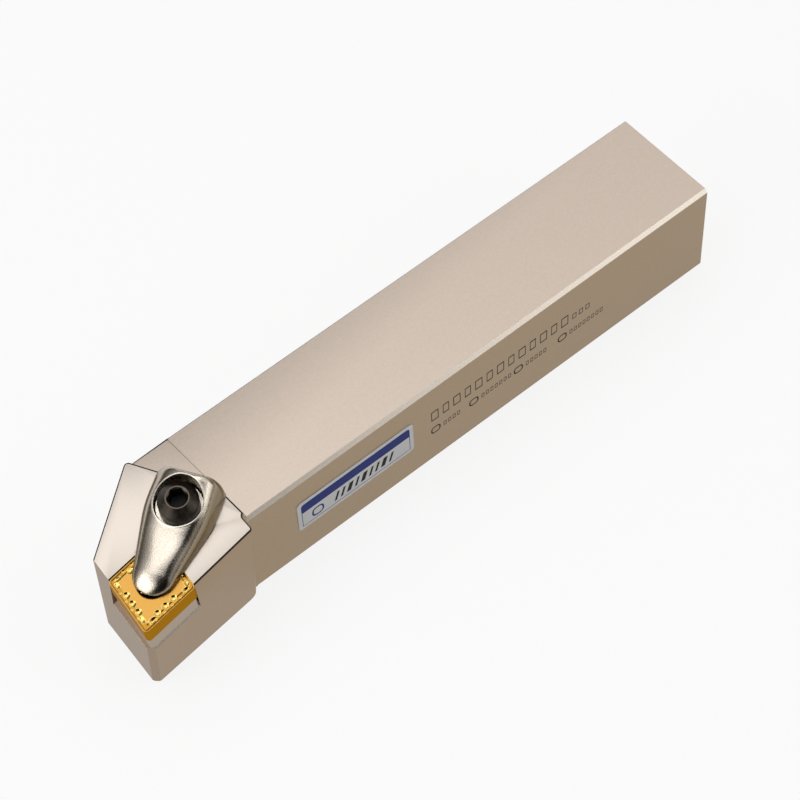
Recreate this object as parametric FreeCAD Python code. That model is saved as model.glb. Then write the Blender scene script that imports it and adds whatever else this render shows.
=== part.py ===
# A right-hand turning tool holder: a square steel shank whose head carries a rhombic
# carbide insert on a shim, held down and pulled back by a clamping finger and its screw.
#
# Frame: +X runs from the cutting tip to the tail, +Z is up, and the cutting side looks to -Y.
# The origin is on the shank's base, in the middle of its width and of the tool's length.
# All lengths are in millimetres and all angles in degrees.

import FreeCAD, Part
import math
import os
from FreeCAD import Matrix, Placement, Rotation, Vector

# Shank
shank_width = 25.0
shank_height = 25.0
overall_length = 150.0
top_edge_chamfer = 0.75
other_edge_chamfer = 0.25

# Cutting tip, level with the top of the shank: its distance from the far side of the shank,
# the turn of the main edge away from the shank, and the two tilts of the insert's seat
functional_width = 32.0
edge_turn = 5.0
edge_rise = 6.0
seat_roll = 6.0

# Insert: inscribed circle, thickness, hole, corner rounding and point angle
insert_circle = 12.7
insert_thickness = 4.76
insert_hole_radius = 2.58
insert_hole_rounding = 0.45
insert_corner_radius = 0.8
point_angle = 80.0

# Chip breaker pressed into both faces of the insert
edge_land = 0.18
groove_bottom = 0.8
groove_depth = 0.16
inner_land = 1.7
inner_slope = 0.45
dimple_radius = 0.85
dimple_depth = 0.42
dimple_inset = 1.5
dimple_pitch = 2.05
dimples_per_edge = 3
corner_pocket_radius = 0.62
corner_pocket_depth = 0.37
corner_pocket_inset = 1.25
corner_pocket_start = 1.75
corner_pocket_end = 3.05

# Shim under the insert
shim_thickness = 4.76
shim_inset = 0.25
shim_hole_clearance = 0.3

# Shim screw, countersunk
shim_screw_radius = 2.0
shim_screw_head_radius = 3.7
shim_screw_length = 11.0
shim_screw_sink = 0.4
shim_screw_key = 2.5
shim_screw_key_depth = 1.6

# Head of the holder
side_turn = 6.3
side_lean = 4.7
side_setback = 0.5
front_turn = 3.5
front_lean = 0.5
front_setback = 0.3
left_shoulder = 5.45
left_turn = 35.8
left_lean = 2.3
overhang_back = 28.05
overhang_root_radius = 1.1
overhang_heel_radius = 1.8
head_back = 29.4
head_back_turn = 1.7
head_back_lean = 16.7
heel_floor_depth = 0.15
nose_edge_chamfer = 1.3
base_edge_chamfer = 0.35
shoulder_corner_radius = 0.9
pocket_corner_relief = 1.0
pocket_floor_chamfer = 0.9

# Clamp, seen from above: measured from the insert's hole along the finger
clamp_turn = 25.4
clamp_nose_centre = 1.85
clamp_nose_radius = 4.35
clamp_half_width = 7.1
clamp_shoulder = 13.8
clamp_shoulder_radius = 9.4
clamp_tail = 22.3
clamp_tail_radius = 2.2
clamp_ridge_end = 19.5

# Clamp, seen from the side
clamp_lift_gap = 0.35
clamp_height_at_hole = 1.5
clamp_top_slope = 0.295
clamp_side_slope = 0.115
clamp_roundness = 3.4
clamp_levels = (0.0, 0.3, 0.55, 0.76, 0.91, 0.975, 0.997)
nose_pad_reach = 4.5
nose_pad_inset = 0.4
lug_radius = 1.9
lug_depth = 2.0
lug_clearance = 0.3
heel_wall = 21.94
heel_ramp_lean = 12.0
heel_depth = 4.2
heel_reach = 23.9
heel_half_width = 6.2
heel_root_height = 2.6
heel_root_inset = 0.2

# Clamp screw, its seat in the clamp and its thread in the holder
screw_distance = 15.4
screw_radius = 2.5
screw_thread_pitch = 0.8
screw_reach = 17.0
thread_clearance = 0.05
screw_seat_height = 2.7
screw_head_radius = 4.0
screw_head_height = 3.05
screw_collar_radius = 2.36
screw_collar_rise = 1.5
screw_head_chamfer = 0.3
screw_key = 3.6
screw_key_depth = 3.4
screw_mouth_radius = 2.12
screw_hole_clearance = 0.3
head_bore_clearance = 0.85
tapped_hole_depth = 20.0

# Lifting spring round the clamp screw
spring_wire_radius = 0.45
spring_side_clearance = 0.35
spring_pocket_radius = 4.2
spring_pocket_depth = 5.0
spring_recess_depth = 0.65
spring_turns = 4.5

# Sticker on the cutting side of the shank: from the tip, and from the base
label_start = 40.7
label_length = 29.5
label_bottom = 8.4
label_height = 9.4
label_thickness = 0.12
label_corner_radius = 1.0

# A size larger than the whole tool, for cutting tools that reach past it
ample = 2 * (overall_length + shank_height)

# Derived places
x_tip = -overall_length / 2
tip_height = shank_height
y_tip = shank_width / 2 - functional_width
y_side = -shank_width / 2
point_sine = math.sin(math.radians(point_angle))
point_cosine = math.cos(math.radians(point_angle))
insert_side = insert_circle / point_sine
insert_centre = Vector(insert_side * (1 + point_cosine) / 2, insert_side * point_sine / 2, 0)
seat_depth = insert_thickness + shim_thickness


def direction(turn, lean):
    """Unit vector turned from +X about Z, then leaned down towards -Z."""
    flat = math.cos(math.radians(lean))
    down = math.sin(math.radians(lean))
    across = math.radians(turn)
    return Vector(math.cos(across) * flat, math.sin(across) * flat, -down)


def seat_frame():
    """Frame of the insert's top face: origin at its sharp corner, X along the main edge."""
    half_point = math.radians(point_angle / 2)
    rounding_loss = insert_corner_radius * (math.cos(math.pi / 4) / math.sin(half_point) - 1)
    corner = Vector(x_tip - rounding_loss, y_tip - rounding_loss, tip_height)
    turn = Rotation(Vector(0, 0, 1), edge_turn)
    rise = Rotation(Vector(0, 1, 0), -edge_rise)
    roll = Rotation(Vector(1, 0, 0), seat_roll)
    return Placement(corner, turn.multiply(rise).multiply(roll))


seat = seat_frame()
finger = seat.multiply(Placement(insert_centre, Rotation(Vector(0, 0, 1), clamp_turn)))
seat_up = seat.Rotation.multVec(Vector(0, 0, 1))


def placed(shape, frame):
    """A copy of a shape, moved from its own frame into the tool's frame."""
    moved = shape.copy()
    moved.Placement = frame.multiply(shape.Placement)
    return moved


def polygon(points):
    """Face inside a closed row of straight edges."""
    return Part.Face(Part.makePolygon(points + [points[0]]))


def column(x, y, radius, z_low, z_high):
    """Upright round bar."""
    return Part.makeCylinder(radius, z_high - z_low, Vector(x, y, z_low))


def block(x_low, x_high, y_low, y_high, z_low, z_high):
    """Box between two corners."""
    size = Vector(x_high - x_low, y_high - y_low, z_high - z_low)
    return Part.makeBox(size.x, size.y, size.z, Vector(x_low, y_low, z_low))


def beyond(plane):
    """Everything on the outward side of a plane, given as a point and an outward normal."""
    point, outward = plane
    half = ample / 2
    slab = block(-half, half, -half, half, 0, ample)
    return placed(slab, Placement(point, Rotation(Vector(0, 0, 1), outward)))


def edges_between(shape, plane_a, plane_b):
    """Edges of a shape that lie in both planes."""
    found = []
    for edge in shape.Edges:
        on_both = True
        for point, outward in (plane_a, plane_b):
            for vertex in edge.Vertexes:
                if abs((vertex.Point - point).dot(outward)) > 0.001:
                    on_both = False
        if on_both:
            found.append(edge)
    return found


def rounded_outline(corners, radius):
    """Closed wire through the corners, each rounded by an arc of the same radius."""
    edges = []
    arcs = []
    for index, corner in enumerate(corners):
        back = (corners[index - 1] - corner).normalize()
        ahead = (corners[(index + 1) % len(corners)] - corner).normalize()
        half_angle = back.getAngle(ahead) / 2
        middle = (back + ahead).normalize()
        reach = radius / math.tan(half_angle)
        crest = radius / math.sin(half_angle) - radius
        arcs.append((corner + back * reach, corner + middle * crest, corner + ahead * reach))
    for index, (start, crest, end) in enumerate(arcs):
        edges.append(Part.Arc(start, crest, end).toShape())
        next_start = arcs[(index + 1) % len(arcs)][0]
        edges.append(Part.LineSegment(end, next_start).toShape())
    return Part.Wire(edges)


def rhombus(circle, corner_radius, z):
    """Rounded rhombic outline round the insert's centre, for a given inscribed circle."""
    side = circle / point_sine
    along = Vector(side, 0, 0)
    across = Vector(side * point_cosine, side * point_sine, 0)
    start = insert_centre - (along + across) / 2 + Vector(0, 0, z)
    corners = [start, start + along, start + along + across, start + across]
    return rounded_outline(corners, corner_radius)


def rhombic_plate(circle, corner_radius, z_low, z_high):
    """Upright rhombic plate in the seat's frame."""
    outline = Part.Face(rhombus(circle, corner_radius, z_low))
    return outline.extrude(Vector(0, 0, z_high - z_low))


def hexagon(key, z_low, z_high):
    """Hexagonal bar for a socket, measured across its flats."""
    reach = key / 2 / math.cos(math.pi / 6)
    corners = []
    for step in range(6):
        angle = math.pi / 3 * step
        corners.append(Vector(reach * math.cos(angle), reach * math.sin(angle), z_low))
    return polygon(corners).extrude(Vector(0, 0, z_high - z_low))


def side_plane():
    """Cutting side of the head, just behind the main edge and falling back below it."""
    point = seat.multVec(Vector(insert_side, side_setback, 0))
    return point, direction(side_turn - 90, side_lean)


def front_plane():
    """Front of the head, just behind the end cutting edge."""
    end_corner = Vector(insert_side * point_cosine, insert_side * point_sine, 0)
    point = seat.multVec(end_corner + Vector(front_setback, 0, 0))
    return point, direction(180 - front_turn, front_lean)


def left_plane():
    """Oblique face from the front of the head to the far side of the shank."""
    reach = insert_side + left_shoulder / point_sine
    corner = Vector(reach * point_cosine + front_setback, reach * point_sine, 0)
    return seat.multVec(corner), direction(90 + left_turn, -left_lean)


def top_plane():
    """Top of the two shoulders, level with the insert's top face."""
    return seat.Base, seat_up


def back_plane():
    """Sloping wall where the head rises from the top of the shank."""
    point = Vector(x_tip + head_back, 0, shank_height)
    return point, direction(head_back_turn, -head_back_lean)


def heel_plane():
    """Ramp behind the left shoulder, on which the clamp's heel slides down and back."""
    point = finger.multVec(Vector(heel_wall, 0, 0))
    lean = math.radians(heel_ramp_lean)
    return point, finger.Rotation.multVec(Vector(math.cos(lean), 0, math.sin(lean)))


def far_side_plane():
    """Side of the shank away from the cutting tip."""
    return Vector(0, shank_width / 2, 0), Vector(0, 1, 0)


def base_plane():
    """Underside of the shank and the head."""
    return Vector(0, 0, 0), Vector(0, 0, -1)


def shank():
    """Square bar with its long edges broken, the upper one on the cutting side the most."""
    half = shank_width / 2
    big = top_edge_chamfer
    small = other_edge_chamfer
    x_start = x_tip + head_back
    section = [
        Vector(x_start, -half + small, 0),
        Vector(x_start, half - small, 0),
        Vector(x_start, half, small),
        Vector(x_start, half, shank_height - small),
        Vector(x_start, half - small, shank_height),
        Vector(x_start, -half + big, shank_height),
        Vector(x_start, -half, shank_height - big),
        Vector(x_start, -half, small),
    ]
    return polygon(section).extrude(Vector(overall_length - head_back, 0, 0))


def overhang_relief():
    """Space behind the part of the head that overhangs the cutting side of the shank."""
    x_wall = x_tip + overhang_back
    radius = overhang_root_radius
    diagonal = radius * (1 - math.cos(math.pi / 4))
    arc_start = Vector(x_wall + radius, y_side, 0)
    arc_middle = Vector(x_wall + diagonal, y_side - diagonal, 0)
    arc_end = Vector(x_wall, y_side - radius, 0)
    edges = [
        Part.Arc(arc_start, arc_middle, arc_end).toShape(),
        Part.LineSegment(arc_end, Vector(x_wall, -ample, 0)).toShape(),
        Part.LineSegment(Vector(x_wall, -ample, 0), Vector(ample, -ample, 0)).toShape(),
        Part.LineSegment(Vector(ample, -ample, 0), Vector(ample, y_side, 0)).toShape(),
        Part.LineSegment(Vector(ample, y_side, 0), arc_start).toShape(),
    ]
    space = Part.Face(Part.Wire(edges)).extrude(Vector(0, 0, ample))

    # Rounded lower corner of the overhang
    radius = overhang_heel_radius
    corner = block(x_wall - radius, x_wall + overhang_root_radius, -ample, y_side, 0, radius)
    rounding = Part.makeCylinder(radius, ample, Vector(x_wall - radius, y_side, radius), Vector(0, -1, 0))
    return space.fuse(corner.cut(rounding))


def head():
    """Forged head before its pocket is cut, together with the bar under it."""
    body = block(x_tip - 1, x_tip + head_back, y_tip - 1, shank_width / 2, 0, 2 * shank_height)
    raised = block(-ample, ample, -ample, ample, shank_height, ample)
    body = body.cut(beyond(top_plane()))
    body = body.cut(beyond(side_plane()))
    body = body.cut(overhang_relief())
    body = body.cut(beyond(back_plane()).common(raised))
    body = body.cut(beyond(heel_plane()).common(raised))
    body = body.cut(beyond(front_plane()))
    return body.cut(beyond(left_plane()))


def heel_floor():
    """Shallow milled floor between the ramp and the line across the top of the shank."""
    point, outward = back_plane()
    line = (point, Vector(outward.x, outward.y, 0).normalize())
    low = shank_height - heel_floor_depth
    slab = block(-ample, ample, -shank_width, shank_width, low, shank_height + heel_floor_depth)
    return slab.common(beyond(heel_plane())).cut(beyond(line))


def pocket():
    """Seat for the shim and the insert: two walls, a floor and a drilled inner corner."""
    far = insert_centre * 2
    across = Vector(point_cosine, point_sine, 0) * ample
    outline = [far, far - Vector(ample, 0, 0), far - Vector(ample, 0, 0) - across, far - across]
    space = polygon(outline)
    space.translate(Vector(0, 0, -seat_depth))
    space = space.extrude(Vector(0, 0, ample))
    relief = column(far.x, far.y, pocket_corner_relief, -seat_depth, ample)
    return placed(space.fuse(relief), seat)


def pocket_edge_break():
    """Chamfer round the open edges of the pocket floor."""
    far = insert_centre * 2
    across = Vector(point_cosine, point_sine, 0) * ample
    outline = [far, far - Vector(ample, 0, 0), far - Vector(ample, 0, 0) - across, far - across]
    low = seat_depth + pocket_floor_chamfer
    band = polygon(outline)
    band.translate(Vector(0, 0, -low))
    band = placed(band.extrude(Vector(0, 0, pocket_floor_chamfer)), seat)
    wedges = []
    for point, outward in (side_plane(), front_plane()):
        # The line where the floor meets this face, found along the face's own slope
        flat = (outward - seat_up * outward.dot(seat_up)).normalize()
        on_floor = point - seat_up * seat_depth
        slip = (point - on_floor).dot(outward) / flat.dot(outward)
        edge = on_floor + flat * slip - seat_up * pocket_floor_chamfer
        wedges.append(beyond((edge, (flat + seat_up).normalize())))
    return band.common(wedges[0].fuse(wedges[1]))


def holder_body():
    """Shank and head in one piece, with the pocket and the tapped holes."""
    body = shank().fuse(head()).removeSplitter()
    nose = edges_between(body, side_plane(), front_plane())
    body = body.makeChamfer(nose_edge_chamfer, nose)
    for face in (side_plane(), front_plane(), left_plane()):
        body = body.makeChamfer(base_edge_chamfer, edges_between(body, base_plane(), face))
    corners = edges_between(body, left_plane(), heel_plane())
    corners += edges_between(body, far_side_plane(), heel_plane())
    body = body.makeFillet(shoulder_corner_radius, corners)
    body = body.cut(heel_floor())
    body = body.cut(pocket())
    body = body.cut(pocket_edge_break())

    # Tapped hole for the shim screw, under the insert's hole
    bottom = -insert_thickness - shim_screw_sink - shim_screw_length - 2 * shim_screw_radius
    hole = column(insert_centre.x, insert_centre.y, shim_screw_radius + thread_clearance, bottom, 0)
    body = body.cut(placed(hole, seat))

    # Tapped hole for the clamp screw, with the spring's pocket at its mouth
    hole = column(screw_distance, 0, screw_radius + thread_clearance, -tapped_hole_depth, ample)
    mouth = column(screw_distance, 0, spring_pocket_radius, -spring_pocket_depth, ample)
    return body.cut(placed(hole.fuse(mouth), finger))


def capsule(length, radius):
    """Round bar along X with a half ball on each end, both measured to the balls' centres."""
    start = Vector(-radius, 0, 0)
    end = Vector(length + radius, 0, 0)
    near = Vector(0, radius, 0)
    far = Vector(length, radius, 0)
    slant = radius * math.cos(math.pi / 4)
    edges = [
        Part.Arc(start, Vector(-slant, slant, 0), near).toShape(),
        Part.LineSegment(near, far).toShape(),
        Part.Arc(far, Vector(length + slant, slant, 0), end).toShape(),
        Part.LineSegment(end, start).toShape(),
    ]
    return Part.Face(Part.Wire(edges)).revolve(Vector(0, 0, 0), Vector(1, 0, 0), 360)


def chip_breaker():
    """What is pressed into one face of the insert, whose plane is z = 0."""
    rim = insert_circle - 2 * edge_land
    bottom = insert_circle - 2 * groove_bottom
    island = insert_circle - 2 * inner_land
    foot = island + 2 * inner_slope
    radius = insert_corner_radius
    groove = Part.makeLoft([rhombus(rim, radius, 0), rhombus(bottom, radius, -groove_depth)], True, True)
    land = Part.makeLoft([rhombus(island, radius, 0), rhombus(foot, radius, -groove_depth)], True, True)
    cutters = [groove.cut(land)]
    along = Vector(1, 0, 0)
    across = Vector(point_cosine, point_sine, 0)
    for edge_run, inward in ((along, Vector(0, 1, 0)), (across, Vector(point_sine, -point_cosine, 0))):
        for side in (1, -1):
            middle = insert_centre - inward * side * insert_circle / 2
            row = middle + inward * side * dimple_inset
            first = -(dimples_per_edge - 1) / 2
            rise = Vector(0, 0, dimple_radius - dimple_depth)
            for number in range(dimples_per_edge):
                place = row + edge_run * (first + number) * dimple_pitch + rise
                cutters.append(Part.makeSphere(dimple_radius, place))
            row = middle + inward * side * corner_pocket_inset
            rise = Vector(0, 0, corner_pocket_radius - corner_pocket_depth)
            for end in (1, -1):
                start = row + edge_run * end * (insert_side / 2 - corner_pocket_end) + rise
                run = edge_run * end * (corner_pocket_end - corner_pocket_start)
                trough = capsule(run.Length, corner_pocket_radius)
                cutters.append(placed(trough, Placement(start, Rotation(Vector(1, 0, 0), run))))
    return cutters


def insert():
    """Double sided rhombic insert with a pressed chip breaker on both faces."""
    plate = rhombic_plate(insert_circle, insert_corner_radius, -insert_thickness, 0)
    x, y = insert_centre.x, insert_centre.y
    plate = plate.cut(column(x, y, insert_hole_radius, -insert_thickness, 0))
    rounded = []
    for edge in plate.Edges:
        if abs(edge.Length - 2 * math.pi * insert_hole_radius) < 0.01:
            rounded.append(edge)
    plate = plate.makeFillet(insert_hole_rounding, rounded)
    turn_over = Placement(Vector(0, 0, -insert_thickness), Rotation())
    cutters = []
    for cutter in chip_breaker():
        cutters.append(cutter)
        cutters.append(placed(cutter.mirror(Vector(0, 0, 0), Vector(0, 0, 1)), turn_over))
    plate = plate.cut(cutters)
    return placed(plate, seat)


def shim():
    """Seat plate, a little smaller than the insert, countersunk for its screw."""
    top = -insert_thickness
    plate = rhombic_plate(insert_circle - 2 * shim_inset, insert_corner_radius, -seat_depth, top)
    hole_radius = shim_screw_radius + shim_hole_clearance
    x, y = insert_centre.x, insert_centre.y
    plate = plate.cut(column(x, y, hole_radius, -seat_depth, top))
    mouth = column(x, y, shim_screw_head_radius, top - shim_screw_sink, top)
    plate = plate.cut(mouth)
    sink_depth = shim_screw_head_radius - shim_screw_radius
    sink = Part.makeCone(shim_screw_radius, shim_screw_head_radius, sink_depth)
    sink.translate(Vector(x, y, top - shim_screw_sink - sink_depth))
    return placed(plate.cut(sink), seat)


def shim_screw():
    """Countersunk screw that holds the shim down."""
    head_depth = shim_screw_head_radius - shim_screw_radius
    cone = Part.makeCone(shim_screw_radius, shim_screw_head_radius, head_depth)
    cone.translate(Vector(0, 0, -head_depth))
    stem = column(0, 0, shim_screw_radius, -shim_screw_length, -head_depth)
    screw = cone.fuse(stem).removeSplitter()
    screw = screw.cut(hexagon(shim_screw_key, -shim_screw_key_depth, 0))
    top = insert_centre - Vector(0, 0, insert_thickness + shim_screw_sink)
    return placed(screw, seat.multiply(Placement(top, Rotation())))


def clamp_outline(scale, spread=0.0):
    """Clamp seen from above, drawn in towards its ridge by a scale, or spread outwards."""
    nose = clamp_nose_radius * scale + spread
    half = clamp_half_width * scale + spread
    tail = clamp_ridge_end + (clamp_tail - clamp_ridge_end) * scale + spread
    corner = clamp_tail_radius * scale + spread
    bend = clamp_shoulder_radius * scale + spread
    run = clamp_shoulder - clamp_nose_centre
    taper = math.atan2(half, run) - math.asin(nose / math.hypot(run, half))
    bend_reach = bend * math.tan(taper / 2)
    bend_rise = bend / math.cos(taper / 2) - bend
    lean = Vector(math.cos(taper), math.sin(taper), 0)
    chord = Vector(math.sin(taper / 2), -math.cos(taper / 2), 0)
    bend_corner = Vector(clamp_shoulder, half, 0)
    diagonal = corner * (1 - math.cos(math.pi / 4))
    left = [
        Vector(clamp_nose_centre - nose * math.sin(taper), nose * math.cos(taper), 0),
        bend_corner - lean * bend_reach,
        bend_corner + chord * bend_rise,
        bend_corner + Vector(bend_reach, 0, 0),
        Vector(tail - corner, half, 0),
        Vector(tail - diagonal, half - diagonal, 0),
        Vector(tail, half - corner, 0),
    ]
    right = []
    for point in left:
        right.append(Vector(point.x, -point.y, 0))
    nose_tip = Vector(clamp_nose_centre - nose, 0, 0)
    edges = [
        Part.LineSegment(left[0], left[1]).toShape(),
        Part.Arc(left[1], left[2], left[3]).toShape(),
        Part.LineSegment(left[3], left[4]).toShape(),
        Part.Arc(left[4], left[5], left[6]).toShape(),
        Part.LineSegment(left[6], right[6]).toShape(),
        Part.Arc(right[6], right[5], right[4]).toShape(),
        Part.LineSegment(right[4], right[3]).toShape(),
        Part.Arc(right[3], right[2], right[1]).toShape(),
        Part.LineSegment(right[1], right[0]).toShape(),
        Part.Arc(right[0], nose_tip, left[0]).toShape(),
    ]
    return Part.Wire(edges)


def clamp_section(level):
    """Outline of the clamp at a level of its crown, rising towards the tail and the cutting side."""
    scale = (1 - level ** 2) ** (1 / clamp_roundness)
    shear = Matrix()
    shear.A31 = level * clamp_top_slope
    shear.A32 = -level * clamp_side_slope
    shear.A34 = clamp_lift_gap + level * (clamp_height_at_hole - clamp_lift_gap)
    return clamp_outline(scale).transformGeometry(shear)


def heel_outline(reach, half_width, z):
    """Rounded section of the heel, from inside the clamp's body to its back wall."""
    start = clamp_shoulder
    corners = [
        Vector(start, -half_width, z),
        Vector(reach, -half_width, z),
        Vector(reach, half_width, z),
        Vector(start, half_width, z),
    ]
    return rounded_outline(corners, clamp_tail_radius)


def clamp_heel():
    """Drafted heel that reaches down behind the shoulder and bears on its ramp."""
    foot = heel_outline(heel_reach, heel_half_width, -heel_depth)
    root_width = clamp_half_width - heel_root_inset
    root = heel_outline(clamp_tail - heel_root_inset, root_width, heel_root_height)
    heel = Part.makeLoft([foot, root], True, True)
    lean = math.radians(heel_ramp_lean)
    ahead = Vector(-math.cos(lean), 0, -math.sin(lean))
    return heel.cut(beyond((Vector(heel_wall, 0, 0), ahead)))


def clamp_nose_pad():
    """Pad under the nose that presses on the insert, and the lug that reaches into its hole."""
    pad = Part.Face(clamp_outline(1, -nose_pad_inset)).extrude(Vector(0, 0, clamp_lift_gap))
    pad = pad.common(block(-ample, nose_pad_reach, -ample, ample, 0, clamp_lift_gap))
    lug_offset = insert_hole_radius - lug_radius - lug_clearance
    lug = column(lug_offset, 0, lug_radius, -lug_depth, clamp_lift_gap)
    return pad.fuse(lug)


def clamp():
    """Forged clamping finger, rising from its rounded nose to the screw's bore."""
    sections = []
    for level in clamp_levels:
        sections.append(clamp_section(level))
    body = Part.makeLoft(sections, True, False)
    body = body.fuse(clamp_heel()).fuse(clamp_nose_pad())

    # Bore for the screw's head, hole for its stem and recess for the spring
    bore = screw_head_radius + head_bore_clearance
    body = body.cut(column(screw_distance, 0, bore, screw_seat_height, ample))
    body = body.cut(column(screw_distance, 0, screw_radius + screw_hole_clearance, -ample, ample))
    recess_top = clamp_lift_gap + spring_recess_depth
    body = body.cut(column(screw_distance, 0, spring_pocket_radius, -ample, recess_top))
    return placed(body, finger)


def clamp_screw():
    """Clamp screw with a round head that ends in a cone, and a hexagon socket."""
    seat_z = screw_seat_height
    edge_z = seat_z + screw_head_height
    top_z = edge_z + screw_collar_rise
    radius = screw_head_radius
    collar = screw_collar_radius
    stem = screw_radius
    tip = stem - screw_thread_pitch / 2
    profile = [
        Vector(0, 0, -screw_reach),
        Vector(tip, 0, -screw_reach),
        Vector(stem, 0, -screw_reach + screw_thread_pitch),
        Vector(stem, 0, seat_z),
        Vector(radius - screw_head_chamfer, 0, seat_z),
        Vector(radius, 0, seat_z + screw_head_chamfer),
        Vector(radius, 0, edge_z),
        Vector(collar, 0, top_z),
        Vector(0, 0, top_z),
    ]
    screw = polygon(profile).revolve(Vector(0, 0, 0), Vector(0, 0, 1), 360)
    screw = screw.cut(hexagon(screw_key, top_z - screw_key_depth, top_z))
    mouth = Part.makeCone(0, screw_mouth_radius, screw_mouth_radius, Vector(0, 0, top_z - screw_mouth_radius))
    screw = screw.cut(mouth)
    return placed(screw, finger.multiply(Placement(Vector(screw_distance, 0, 0), Rotation())))


def clamp_spring():
    """Coil spring between the holder and the clamp."""
    low = -spring_pocket_depth + spring_wire_radius
    high = clamp_lift_gap + spring_recess_depth - spring_wire_radius
    mean_radius = spring_pocket_radius - spring_side_clearance - spring_wire_radius
    height = high - low
    coil = Part.makeHelix(height / spring_turns, height, mean_radius)
    section = Part.Wire(Part.makeCircle(spring_wire_radius, Vector(mean_radius, 0, 0), Vector(0, 1, 0)))
    spring = Part.Wire(coil.Edges).makePipeShell([section], True, True)
    return placed(spring, finger.multiply(Placement(Vector(screw_distance, 0, low), Rotation())))


def label():
    """Thin sticker on the cutting side of the shank."""
    x_low = x_tip + label_start
    z_low = label_bottom
    corners = [
        Vector(x_low, y_side, z_low),
        Vector(x_low + label_length, y_side, z_low),
        Vector(x_low + label_length, y_side, z_low + label_height),
        Vector(x_low, y_side, z_low + label_height),
    ]
    outline = Part.Face(rounded_outline(corners, label_corner_radius))
    return outline.extrude(Vector(0, -label_thickness, 0))


pieces = {
    "holder_body": holder_body,
    "shim": shim,
    "shim_screw": shim_screw,
    "insert": insert,
    "clamp": clamp,
    "clamp_screw": clamp_screw,
    "clamp_spring": clamp_spring,
    "label": label,
}

os.makedirs("parts", exist_ok=True)
for name, make in pieces.items():
    shape = make()
    shape.exportStep("parts/" + name + ".step")
    print(name, "solids", len(shape.Solids), "valid", shape.isValid(), "volume", round(shape.Volume, 2))
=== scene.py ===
import math

import bmesh
import bpy
from mathutils import Matrix, Vector


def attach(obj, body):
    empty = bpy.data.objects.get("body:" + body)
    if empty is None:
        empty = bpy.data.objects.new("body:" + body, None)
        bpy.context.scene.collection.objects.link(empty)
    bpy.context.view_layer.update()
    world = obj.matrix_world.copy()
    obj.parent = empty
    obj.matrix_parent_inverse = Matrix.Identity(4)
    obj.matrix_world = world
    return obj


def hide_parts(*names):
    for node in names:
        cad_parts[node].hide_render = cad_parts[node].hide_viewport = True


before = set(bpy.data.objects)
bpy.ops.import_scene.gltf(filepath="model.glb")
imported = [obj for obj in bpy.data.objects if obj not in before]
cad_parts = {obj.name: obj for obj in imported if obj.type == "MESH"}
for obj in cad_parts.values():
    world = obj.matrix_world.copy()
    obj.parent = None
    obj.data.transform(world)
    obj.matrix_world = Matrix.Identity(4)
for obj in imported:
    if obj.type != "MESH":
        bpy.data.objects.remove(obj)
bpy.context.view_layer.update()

MM = 0.001
scene = bpy.context.scene
collection = scene.collection

# Sizes that the part's source gives, in millimetres, with its turns in degrees.
# The bar, and how far the cutting tip stands from its far side
OVERALL_LENGTH = 150.0
SHANK_WIDTH = 25.0
SHANK_HEIGHT = 25.0
FUNCTIONAL_WIDTH = 32.0
# The insert: inscribed circle, thickness, corner radius, point angle, and its hole with a rounded rim
INSERT_CIRCLE = 12.7
INSERT_THICKNESS = 4.76
INSERT_CORNER = 0.8
POINT_ANGLE = math.radians(80.0)
HOLE_RADIUS, HOLE_ROUNDING = 2.58, 0.45
# The seat's turns in the tool, the clamp's turn on the seat, and the screw's place along the clamp
SEAT_TURN, SEAT_RISE, SEAT_ROLL = (math.radians(angle) for angle in (5.0, -6.0, 6.0))
FINGER_TURN = math.radians(25.4)
SCREW_DISTANCE = 15.4
HEAD_BORE = 4.85
SCREW_RADIUS = 2.5
# The clamp's outline, measured along it from above the insert's centre
NOSE_CENTRE, NOSE_RADIUS = 1.85, 4.35
CLAMP_SHOULDER, SHOULDER_RADIUS, CLAMP_HALF_WIDTH = 13.8, 9.4, 7.1
RIDGE_END, CLAMP_TAIL, CLAMP_CORNER = 19.5, 22.3, 2.2
# The clamp's crown: where it starts, its height, its slopes along and across, and its roundness
CROWN_FOOT, CROWN_RISE, CROWN_SLOPE, CROWN_TILT, CROWN_ROUNDNESS = 0.35, 1.15, 0.295, 0.115, 3.4
# The sticker on the bar's side
LABEL_START, LABEL_LENGTH = 40.7, 29.5
LABEL_BOTTOM, LABEL_HEIGHT = 8.4, 9.4
LABEL_THICKNESS = 0.12

# Sizes of what is made only here, in millimetres.
# The chip breaker's groove, in from the edge: where it starts and over how much it falls, where it
# ends and over how much it rises again
GROOVE_DEPTH = 0.16
GROOVE_START, GROOVE_FALL = 0.06, 0.5
GROOVE_END, GROOVE_RISE = 0.95, 0.4
# Hollows pressed beside each cutting edge: half length, row in from the edge, half width, depth, and
# how much deeper they are on the side of the edge
DIMPLE = (0.76, 1.28, 0.76, 0.27, 0.0)
SMALL_DIMPLE = (0.45, 0.62, 0.42, 0.25, 0.0)
POINT_POCKET = (1.05, 1.0, 0.55, 0.28, 0.7)
WIDE_POCKET = (0.95, 0.95, 0.5, 0.28, 0.7)
# Their places along the edge, and how far in from it the last of them ends
DIMPLE_PITCH = 2.05
FROM_POINT, FROM_WIDE_CORNER = 2.75, 1.7
HOLLOWS_END = 2.2
# The honed cutting edge
EDGE_HONE = 0.04
# Steps of the insert's net: round a corner, along an edge, over the hole's rim and across the face
CORNER_STEPS, EDGE_STEPS, RIM_STEPS, FACE_STEPS = 8, 104, 4, 56
# Faces of the clamp's even net
CLAMP_NET = 0.15
# Sharpest bend that a surface takes without an edge
SHARP = math.radians(28)

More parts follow.
